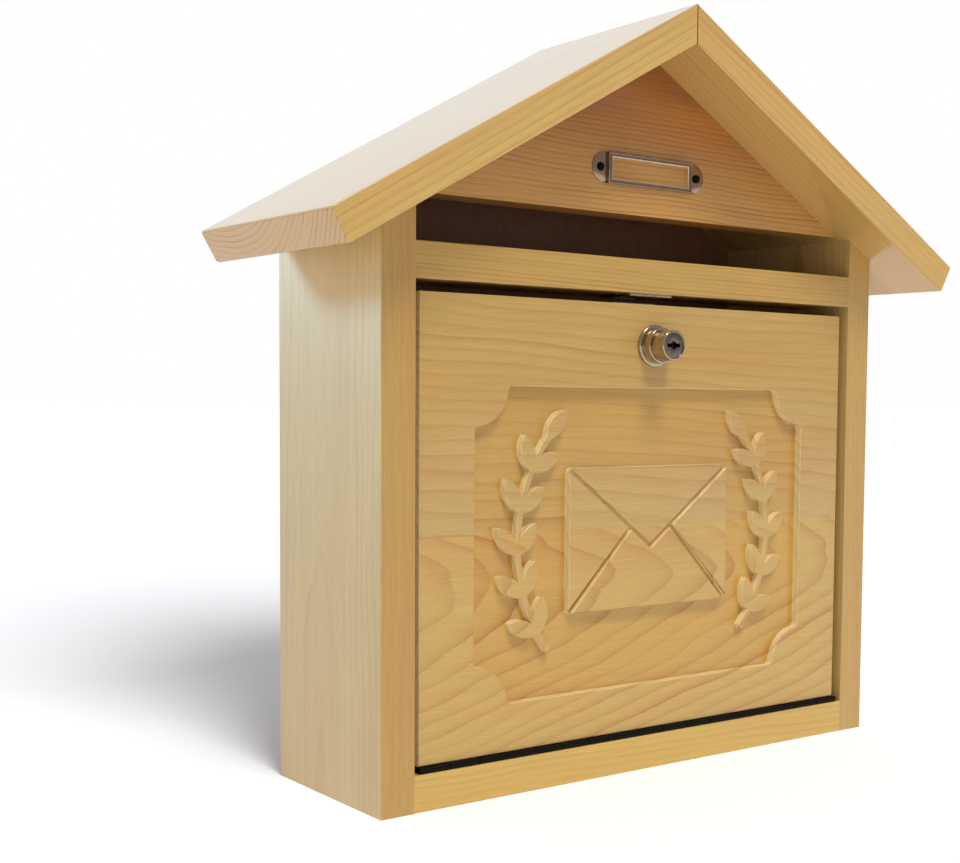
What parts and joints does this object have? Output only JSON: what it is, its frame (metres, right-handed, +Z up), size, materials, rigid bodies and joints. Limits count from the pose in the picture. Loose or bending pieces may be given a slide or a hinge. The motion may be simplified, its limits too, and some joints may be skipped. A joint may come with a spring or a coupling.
{
  "type": "wooden mailbox",
  "caption": "House-shaped wooden mailbox with a gable roof, letter slot, card holder and a carved, lockable door that folds down.",
  "frame": {"origin": "middle of the base, on the plane that the box stands on, halfway between the front and rear edges of the side panels", "axes": "+X to the viewer's right, +Y from the door to the back, +Z up"},
  "size_m": [0.4528, 0.1478, 0.4355],
  "materials": {
    "pine": "satin clear lacquer",
    "plywood": "sanded, clear lacquer",
    "beech": "plain, fluted stock",
    "black_steel": "black oxide",
    "nickel": "polished nickel plate",
    "zinc_steel": "zinc plated",
    "brass": "plain"
  },
  "bodies": {
    "case": {"side_panel_left": "pine", "side_panel_right": "pine", "bottom_board": "pine", "middle_rail": "pine", "gable_panel": "pine", "roof_board_left": "pine", "roof_board_right": "pine", "back_panel": "plywood", "back_panel_screws": "zinc_steel", "bottom_dowels": "beech", "rail_dowels": "beech", "roof_dowels": "beech", "ridge_dowels": "beech", "gable_dowels": "beech", "door_stop_left": "pine", "door_stop_right": "pine", "door_stop_pins": "zinc_steel", "hinge_leaf_lower": "black_steel", "hinge_pin": "black_steel", "hinge_screws_lower": "black_steel", "strike_plate": "nickel", "strike_screws": "nickel", "label_holder": "nickel", "label_holder_nails": "black_steel"},
    "door": {"door_board_upper": "pine", "door_board_lower": "pine", "door_dowels": "beech", "hinge_leaf_upper": "black_steel", "hinge_screws_upper": "black_steel", "lock_rosette": "nickel", "lock_collar": "nickel", "lock_cylinder": "nickel", "lock_case": "zinc_steel", "lock_cover": "zinc_steel", "lock_rivets": "zinc_steel", "lock_screws": "zinc_steel"},
    "plug": {"lock_plug": "nickel", "lock_wafers": "brass", "lock_driver": "zinc_steel"},
    "bolt": {"lock_bolt": "zinc_steel"}
  },
  "joints": [
    {"name": "door_hinge", "type": "hinge", "parent": "case", "child": "door", "pos_m": [0, -0.0548, 0.0217], "axis": [1, 0, 0], "range_deg": [0, 90]},
    {"name": "plug_turn", "type": "hinge", "parent": "door", "child": "plug", "pos_m": [0, -0.0535, 0.2474], "axis": [0, 1, 0], "range_deg": [0, 90]},
    {"name": "bolt_slide", "type": "slide", "parent": "door", "child": "bolt", "axis": [0, 0, 1], "range_m": [0, 0.00751]}
  ],
  "couplings": [
    {"joint": "bolt_slide", "follows": "plug_turn", "m_per_rad": 0.0047746}
  ]
}
